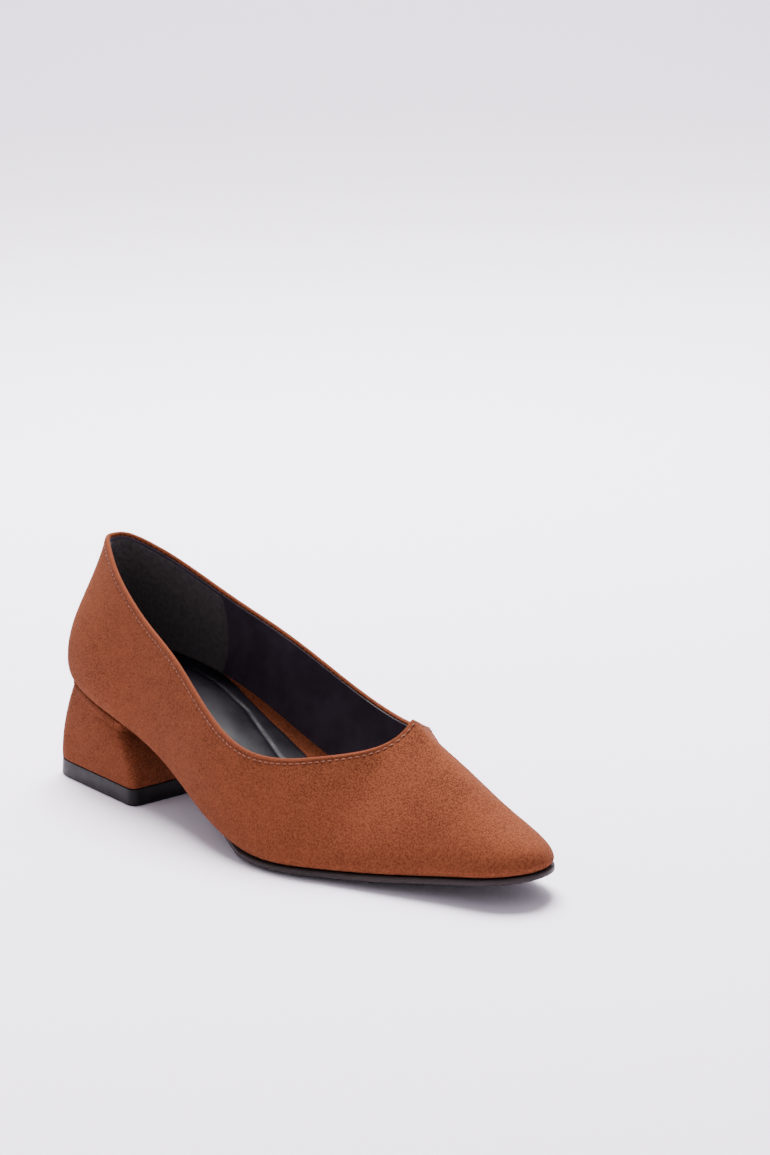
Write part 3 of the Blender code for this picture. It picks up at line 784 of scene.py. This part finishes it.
# %% Hang the lining
LINING = 0.35
LINING_FOOT = 4
lining_grid = skin[:, LINING_FOOT:] - normals[:, LINING_FOOT:] * (WALL + LINING)
lip = skin[:, -1] - normals[:, -1] * (WALL - 0.05)
lip[on_vamp] = lining_grid[on_vamp, -1]
lining_grid = np.concatenate([lining_grid, lip[:, None]], axis=1)
lining = make_piece("quarter_lining", lining_grid.reshape(-1, 3),
                    grid_faces(ribs, lining_grid.shape[1], round_rows=True), lining_leather)

# %% Lay the heel grip
GRIP_THICKNESS = 0.45
signed_row = rib_row * rib_side
back_order = np.flatnonzero(rib_row <= 5.5)
back_order = back_order[np.argsort(signed_row[back_order])]


def inside_wall(signed, step, deep):
    """Points a depth inside the skin, at signed row numbers and step numbers that may be fractions."""
    across = np.interp(signed, signed_row[back_order], np.arange(len(back_order)))
    i = np.minimum(across.astype(int), len(back_order) - 2)
    j = np.minimum(step.astype(int), steps - 2)
    u, v = (across - i)[..., None], (step - j)[..., None]
    corners = []
    for grid in (skin, normals):
        rows = grid[back_order]
        corners.append((rows[i, j] * (1 - u) + rows[i + 1, j] * u) * (1 - v)
                       + (rows[i, j + 1] * (1 - u) + rows[i + 1, j + 1] * u) * v)
    return corners[0] - corners[1] * deep[..., None]


up_share, across_share = np.meshgrid(np.linspace(0, 1, 50), np.linspace(-1, 1, 110))
front_row = 3.42 + 0.42 * np.sin(np.pi * (0.08 + 0.62 * up_share)) - 0.05 * up_share
taper = np.sqrt(np.clip((1 - np.abs(across_share)) / 0.02, 0, 1) * np.clip((1 - up_share) / 0.03, 0, 1))
grip_steps = LINING_FOOT + up_share * (steps - 1 - LINING_FOOT - 4.0)
grip_depth = WALL + LINING + 0.03 + GRIP_THICKNESS * taper
grip_points = inside_wall(across_share * front_row, grip_steps, grip_depth)
grip = make_piece("heel_grip", grip_points.reshape(-1, 3), grid_faces(*up_share.shape), grip_lining)

# %% [markdown]
# ## Insole cover and padded sock
# The insole board is covered in the upper's suede, which shows as a narrow strip on the inner
# side. On it lies the sock: foam under black leather, a soft cushion with a pressed line just
# inside its border. Cloth simulation suits loose cushions; this pad is glued flat, so its crown,
# rolled edge and pressed line are given as heights over the insole.

# %% A sheet between two outlines
def foot_sheet(row_numbers, outline, shares, height):
    """Grid of points from the outer to the inner side; height gets x, distance to the edge, row."""
    grid = []
    for row in row_numbers:
        lateral, medial = outline(-1, row), outline(1, row)
        plan = lateral + (medial - lateral) * shares[:, None]
        wide = np.linalg.norm(medial - lateral)
        to_side = np.minimum(shares, 1 - shares) * wide
        grid.append(np.column_stack([plan, height(plan[:, 0], to_side, row)]))
    return np.array(grid)


def slab(top, under):
    """Points and faces of a closed slab between two grids of the same size."""
    rows, columns = top.shape[:2]
    count = rows * columns
    numbers = np.arange(count).reshape(rows, columns)
    border = np.concatenate([numbers[0], numbers[1:, -1], numbers[-1, -2::-1], numbers[-2:0:-1, 0]])
    faces = grid_faces(rows, columns) + grid_faces(rows, columns, first=count)
    faces += [(a, b, b + count, a + count) for a, b in zip(border, np.roll(border, -1))]
    return np.vstack([top.reshape(-1, 3), under.reshape(-1, 3)]), faces


def crowded(count, edge, wide):
    """Shares across a sheet, closer together within edge mm of both borders of a sheet wide mm wide."""
    border = 1 - np.cos(np.linspace(0, np.pi / 2, 7))
    border = border * edge / wide
    middle = np.linspace(edge / wide, 1 - edge / wide, count)
    return np.concatenate([border[:-1], middle, (1 - border[:-1])[::-1]])


# %% Cover the insole
def against_wall(side, row):
    """Plan point on the lining at the height of the insole's top."""
    shares = np.linspace(0, 0.5, 41)
    line = rib(side, np.full(len(shares), row), shares)
    share = np.interp(0.0, line[:, 2] - insole_top(line[:, 0]), shares)
    return rib(side, row, share)[:2] - outward(place_of(side, row)) * (WALL + LINING + 0.1)


INSOLE_INSET = 2.5
CURL_HEIGHT, CURL_WIDTH = 1.2, 3.0
insole_rows = np.concatenate([np.linspace(0.25, 12, 120), np.linspace(12, 12.8, 16)[1:]])
insole_shares = crowded(22, 3.0, 50.0)
insole_grid = foot_sheet(insole_rows, against_wall, insole_shares, lambda x, to_side, row: insole_top(x))
to_medial = np.linalg.norm((insole_grid - insole_grid[:, -1:])[..., :2], axis=2)
insole_grid[..., 2] += CURL_HEIGHT * (1 - np.clip(to_medial / CURL_WIDTH, 0, 1)) ** 2
insole_under = foot_sheet(insole_rows, lambda side, row: inset(side, row, INSOLE_INSET), insole_shares,
                          lambda x, to_side, row: bottom(x) + WALL + FIT_GAP)
insole = make_piece("insole_cover", *slab(insole_grid, insole_under), strip_suede, smooth_angle=50)
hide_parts("insole")

# %% Pad the sock
# x, and the border's distance from the feather line on the outer and the inner side
SOCK_INSET = np.array((
    (0.0, 1.9, 1.9), (50.0, 1.8, 1.5), (58.0, 1.8, 1.8), (73.0, 2.0, 4.4), (85.0, 2.2, 5.4),
    (98.0, 2.4, 5.9), (107.0, 2.6, 7.0), (125.0, 3.0, 9.4), (150.0, 3.8, 11.0), (252.0, 4.6, 11.0)))
# x, and the pressed line's distance from the border
PRESSED_LINE = np.array((
    (0.0, 6.5), (52.0, 8.5), (66.0, 7.0), (80.0, 6.0), (94.0, 9.0), (107.0, 11.5), (252.0, 11.5)))
PRESSED_DEPTH, PRESSED_WIDTH = 0.55, 0.8
SOCK_THICKNESS = 2.2
SOCK_ROLL = 1.5
SOCK_CROWN = 0.9
SOCK_FIRST_ROW, SOCK_LAST_ROW = 0.3, 11.4
sock_rows = np.concatenate([
    SOCK_FIRST_ROW + 1.2 * (1 - np.cos(np.linspace(0, np.pi / 2, 26))),
    np.linspace(1.5, 10.6, 130)[1:],
    10.6 + 0.8 * np.sin(np.linspace(0, np.pi / 2, 16))[1:]])


def sock_outline(side, row):
    """The pad's border, drawn in on the inner side so that the insole cover shows."""
    x = foot(place_of(side, row))[0]
    return inset(side, row, np.interp(x, SOCK_INSET[:, 0], SOCK_INSET[:, 1 if side < 0 else 2]))


def sock_height(x, to_side, row):
    """Pad height: a rolled edge, a pressed line inside it, and a soft crown in the middle."""
    to_end = min((row - SOCK_FIRST_ROW) * 18, (SOCK_LAST_ROW - row) * 24)
    to_edge = np.minimum(to_side, max(to_end, 0.0))
    edge = np.clip(to_edge / SOCK_ROLL, 0, 1)
    rolled = SOCK_THICKNESS * np.sqrt(edge * (2 - edge))
    line_at = np.interp(x, PRESSED_LINE[:, 0], PRESSED_LINE[:, 1])
    line = PRESSED_DEPTH * np.exp(-((to_edge - line_at) / PRESSED_WIDTH) ** 2)
    crown = SOCK_CROWN * (1 - np.exp(-np.maximum(to_edge - line_at, 0) / 5))
    return insole_top(x) + FIT_GAP + rolled - line + crown


sock_shares = crowded(70, 3.0, 46.0)
sock_grid = foot_sheet(sock_rows, sock_outline, sock_shares, sock_height)
sock_under = sock_grid.copy()
sock_under[..., 2] = insole_top(sock_grid[..., 0]) + FIT_GAP
sock = make_piece("padded_sock", *slab(sock_grid, sock_under), sock_leather)
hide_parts("sock")

# %% [markdown]
# ## The outsole
# The sole is a thin moulded unit, full width at the forefoot and tucked in under the waist. Its
# edge is what shows, so the sheet's border is rounded and the tread stays flat where it stands.

# %% Mould the outsole
SOLE_EDGE = 2.1
SOLE_CROWN = 1.7
WAIST_CROWN = 0.6
SOLE_OVERHANG = 0.4
WAIST_INSET = 7.0
BREAST_TOP_X = 50.0


def spread(row):
    """0 at the tucked-in waist, 1 where the sole has its full width."""
    return np.clip((row - 5.2) / 2.0, 0, 1) ** 1.5


def sole_outline(side, row, draw_in=0.0):
    """The sole's border at a row."""
    return inset(side, row, WAIST_INSET + (-SOLE_OVERHANG - WAIST_INSET) * spread(row) + draw_in)


sole_rows = np.concatenate([np.linspace(row_at(BREAST_TOP_X), 12, 150), np.linspace(12, 13, 24)[1:]])
sole_shares = np.linspace(0, 1, 25)
side_layers = []
for draw_in, drop in ((0.35, 0.0), (0.08, 0.12), (0.0, 0.45), (0.0, 0.75), (0.10, 0.93), (0.45, 1.0)):
    ring = []
    for side in (-1, 1):
        for row in (sole_rows if side < 0 else sole_rows[::-1]):
            plan = sole_outline(side, row, draw_in)
            top = bottom(plan[0]) - FIT_GAP
            low = max(top - SOLE_EDGE, 0.0)
            ring.append((plan[0], plan[1], top + (low - top) * drop))
    side_layers.append(ring)
side_layers = np.array(side_layers)
sole_border = side_layers.shape[1]


def sole_under(x, to_side, row):
    """The tread: a slight crown, worn flat on the floor."""
    crown = WAIST_CROWN + (SOLE_CROWN - WAIST_CROWN) * spread(row)
    across = 1 - np.clip(to_side / max(to_side.max(), 1e-6), 0, 1)
    fall = crown * (1 - across ** 2) * np.clip((TOE_ROW - row) / 3, 0, 1)
    return np.maximum(bottom(x) - FIT_GAP - SOLE_EDGE - fall, 0.0)


under_grid = foot_sheet(sole_rows, lambda side, row: sole_outline(side, row, 0.45), sole_shares, sole_under)
top_grid = foot_sheet(sole_rows, lambda side, row: sole_outline(side, row, 0.35), sole_shares,
                      lambda x, to_side, row: bottom(x) - FIT_GAP)
sole_points = np.vstack([side_layers.reshape(-1, 3), under_grid.reshape(-1, 3), top_grid.reshape(-1, 3)])
sole_faces = grid_faces(len(side_layers), sole_border)
for i in range(0, (len(side_layers) - 1) * sole_border, sole_border):
    sole_faces.append((i, i + sole_border, i + 2 * sole_border - 1, i + sole_border - 1))
sole_faces += grid_faces(*under_grid.shape[:2], first=side_layers[..., 0].size)
sole_faces += grid_faces(*top_grid.shape[:2], first=side_layers[..., 0].size + under_grid[..., 0].size)
outsole = make_piece("outsole_moulded", sole_points, sole_faces, outsole_rubber, smooth_angle=50)
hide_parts("outsole")

# %% [markdown]
# ## The covered heel and its top lift
# The heel is a plastic block wrapped in the same suede, straight at the seat and flared to the
# floor. It is a loft: one outline under the seat, one at the floor, and rings between them whose
# flare starts quickly and then eases. Corners are trimmed and replaced by short curves, because
# stretched suede never makes a sharp edge.

# %% Heel outlines
LIFT_HEIGHT = 6.3
LIFT_DRAFT = 0.5
BREAST_FLOOR_X = 63.4
HEEL_AXIS_Y = 1.5
HEEL_FRONT_HALF = 28.5
HEEL_REAR_HALF = 22.6
HEEL_REAR_TURN_X = 15.0
HEEL_BACK_X = 0.6
HEEL_INSET = 1.2
HEEL_SEAT_BAND = 3.1
HEEL_FLARE = 1.8
HEEL_CORNER = 4.5


def resample(points, count, trim_start=0.0, trim_end=0.0):
    """Points at equal distances along a polyline, less a trimmed length at either end."""
    points = np.asarray(points, float)
    length = run_along(points)
    targets = np.linspace(trim_start, length[-1] - trim_end, count)
    return np.column_stack([np.interp(targets, length, points[:, axis]) for axis in range(2)])


def floor_outline(side, growth):
    """One side of the heel's outline at the floor, from its front corner to its back."""
    front = np.array([BREAST_FLOOR_X + growth, HEEL_FRONT_HALF + growth])
    turn = np.array([HEEL_REAR_TURN_X, HEEL_REAR_HALF + growth])
    back = np.array([HEEL_BACK_X - growth, 0.0])
    turn_handle = turn + (turn - front) * 0.26
    back_handle = back + np.array([0.0, 0.66 * HEEL_REAR_HALF])
    s = np.linspace(0, 1, 61)[:, None]
    curve = cubic(turn, turn_handle, back_handle, back, s)
    half = np.vstack([front, curve])
    return np.column_stack([half[:, 0], HEEL_AXIS_Y + side * half[:, 1]])


def seat_outline(side):
    """One side of the heel's outline under the seat, from its front corner to its back."""
    rows = np.linspace(row_at(BREAST_TOP_X - 0.3), 0, 90)
    return inset(side, rows, np.full(len(rows), HEEL_INSET))


def heel_ring(lateral, medial, corner=HEEL_CORNER):
    """A closed ring with soft front corners: half the breast, one side, the other side, the rest."""
    halves = []
    middle = (lateral[0] + medial[0]) / 2
    for half in (lateral, medial):
        side = resample(half, 60, trim_start=corner)
        breast = resample([middle, half[0]], 14, trim_end=corner)
        s = np.linspace(0, 1, 11)[1:-1, None]
        turn = breast[-1] * (1 - s) ** 2 + half[0] * 2 * s * (1 - s) + side[0] * s ** 2
        halves.append(np.vstack([breast, turn, side]))
    return np.vstack([halves[0], halves[1][-2:0:-1]])


def ring_piece(name, rings, surface, smooth_angle=60):
    """A closed loft through rings, its two ends filled from side to side."""
    rings = np.array(rings)
    count = rings.shape[1]
    faces = []
    for i in range(len(rings) - 1):
        for j in range(count):
            k = (j + 1) % count
            faces.append((i * count + j, i * count + k, (i + 1) * count + k, (i + 1) * count + j))
    for first in (0, (len(rings) - 1) * count):
        faces += [(first + j, first + j + 1, first + (count - j - 1) % count, first + (count - j) % count)
                  for j in range(count // 2)]
    return make_piece(name, rings.reshape(-1, 3), faces, surface, smooth_angle=smooth_angle)


# %% Loft the heel
seat_ring = heel_ring(seat_outline(-1), seat_outline(1))
floor_ring = heel_ring(floor_outline(-1, -LIFT_DRAFT), floor_outline(1, -LIFT_DRAFT))
seat_z = bottom(seat_ring[:, 0]) - FIT_GAP
floor_z = LIFT_HEIGHT + FIT_GAP
band_z = seat_z - HEEL_SEAT_BAND
ring_middle = np.array([30.0, HEEL_AXIS_Y])
heel_rings = [np.column_stack([seat_ring + (ring_middle - seat_ring) * 0.03, seat_z]),
              np.column_stack([seat_ring, seat_z - 0.5])]
for down in np.linspace(0, 1, 40):
    flare = 1 - (1 - down) ** HEEL_FLARE
    plan = seat_ring + (floor_ring - seat_ring) * flare
    heel_rings.append(np.column_stack([plan, band_z + (floor_z + 0.5 - band_z) * down]))
drawn_in = floor_ring + (ring_middle - floor_ring) * 0.012
heel_rings.append(np.column_stack([drawn_in, np.full(len(floor_ring), floor_z)]))
heel = ring_piece("heel_cover", heel_rings, heel_suede_shaded)
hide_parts("heel")

# %% Mould the top lift
lift_rings = []
for growth, z in ((-1.1, LIFT_HEIGHT), (-0.6, LIFT_HEIGHT - 0.1), (-0.5, LIFT_HEIGHT - 0.45),
                  (-0.28, 3.4), (0.0, 0.7), (-0.06, 0.35), (-0.3, 0.08), (-0.7, 0.0)):
    ring = heel_ring(floor_outline(-1, growth), floor_outline(1, growth))
    lift_rings.append(np.column_stack([ring, np.full(len(ring), z)]))
top_lift = ring_piece("top_lift_rubber", lift_rings, lift_rubber, smooth_angle=50)
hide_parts("top_lift")

# %% [markdown]
# ## Floor, light and camera
# The shoe stands on a pale studio sweep under large soft lights, so its shadow is wide and weak.
# The camera repeats a long lens at table height; its place was found by fitting the outlines of
# the sole, the heel and the collar.

# %% Studio sweep
CAMERA_TURN, CAMERA_TILT, CAMERA_ROLL = np.radians((49.78, 13.39, -1.69))


def sweep_profile():
    """Floor, a quarter-round bend and a wall, as distance behind the shoe and height."""
    bend = np.radians(np.linspace(-90, 0, 24))
    curve = [(2.6 + 1.2 * np.cos(a), 1.2 + 1.2 * np.sin(a)) for a in bend]
    return [(-4.0, 0.0), (0.0, 0.0)] + curve + [(3.8, 4.5)]


floor_surface, _, shader = new_surface("studio_paper", 0.75, 0.25)
shader.inputs["Base Color"].default_value = (0.83, 0.770, 0.86, 1.0)
mesh = bmesh.new()
behind = np.array([-np.sin(CAMERA_TURN), np.cos(CAMERA_TURN)])
beside = np.array([np.cos(CAMERA_TURN), np.sin(CAMERA_TURN)])
sweep_rows = []
for reach in (-5.0, 5.0):
    sweep_rows.append([mesh.verts.new((*(beside * reach + behind * away), height))
                       for away, height in sweep_profile()])
for i in range(len(sweep_rows[0]) - 1):
    mesh.faces.new((sweep_rows[0][i], sweep_rows[1][i], sweep_rows[1][i + 1], sweep_rows[0][i + 1]))
sweep_data = bpy.data.meshes.new("studio_sweep")
mesh.to_mesh(sweep_data)
mesh.free()
sweep_data.materials.append(floor_surface)
sweep_data.shade_smooth()
sweep = bpy.data.objects.new("studio_sweep", sweep_data)
bpy.context.scene.collection.objects.link(sweep)
print("floor laid")


# %% Lights
def soft_light(name, size, place, aim, watts):
    """A square softbox at a place that faces a point."""
    lamp = bpy.data.lights.new(name, "AREA")
    lamp.size = size
    lamp.energy = watts
    made = bpy.data.objects.new(name, lamp)
    made.location = place
    made.rotation_mode = "QUATERNION"
    made.rotation_quaternion = (Vector(aim) - Vector(place)).to_track_quat("-Z", "Y")
    bpy.context.scene.collection.objects.link(made)


soft_light("overhead_softbox", 0.9, (-0.55, 0.45, 1.5), (0, 0, 0.03), 124)
soft_light("side_softbox", 1.2, (-0.9, -1.1, 0.9), (0, 0, 0.05), 2)
soft_light("front_fill", 1.4, (1.3, -1.2, 1.0), (0, 0, 0.04), 2)
soft_light("backdrop_light", 2.5, (*(behind * 2.7), 2.2), (*(behind * 3.0), 0.0), 130)
world = bpy.data.worlds.new("studio_air")
bpy.context.scene.world = world
world.use_nodes = True
air = world.node_tree.nodes["Background"]
air.inputs["Color"].default_value = (0.95, 0.91, 1.0, 1.0)
air.inputs["Strength"].default_value = 0.72
print("four softboxes and studio air")

# %% Camera
LENS_PIXELS = 3401.02
PHOTO_HEIGHT = 1155
CAMERA_AIM = np.array([-51.14, 195.58, 30.0])
CAMERA_DISTANCE = 1478.85
back = np.array([np.sin(CAMERA_TURN) * np.cos(CAMERA_TILT), -np.cos(CAMERA_TURN) * np.cos(CAMERA_TILT),
                 np.sin(CAMERA_TILT)])
right = np.array([np.cos(CAMERA_TURN), np.sin(CAMERA_TURN), 0.0])
upward = np.cross(back, right)
rolled_right = right * np.cos(CAMERA_ROLL) + upward * np.sin(CAMERA_ROLL)
rolled_up = upward * np.cos(CAMERA_ROLL) - right * np.sin(CAMERA_ROLL)
eye = in_scene(CAMERA_AIM + back * CAMERA_DISTANCE)
camera_data = bpy.data.cameras.new("photo_camera")
camera_data.sensor_width = 36.0
camera_data.lens = LENS_PIXELS * camera_data.sensor_width / PHOTO_HEIGHT
camera_data.clip_start = 0.05
camera_data.clip_end = 50.0
camera = bpy.data.objects.new("photo_camera", camera_data)
pose = Matrix(np.column_stack([rolled_right, rolled_up, back]).tolist()).to_4x4()
pose.translation = Vector(eye)
camera.matrix_world = pose
bpy.context.scene.collection.objects.link(camera)
bpy.context.scene.camera = camera
print(f"lens {camera_data.lens:.0f} mm, {np.linalg.norm(eye):.2f} m away")
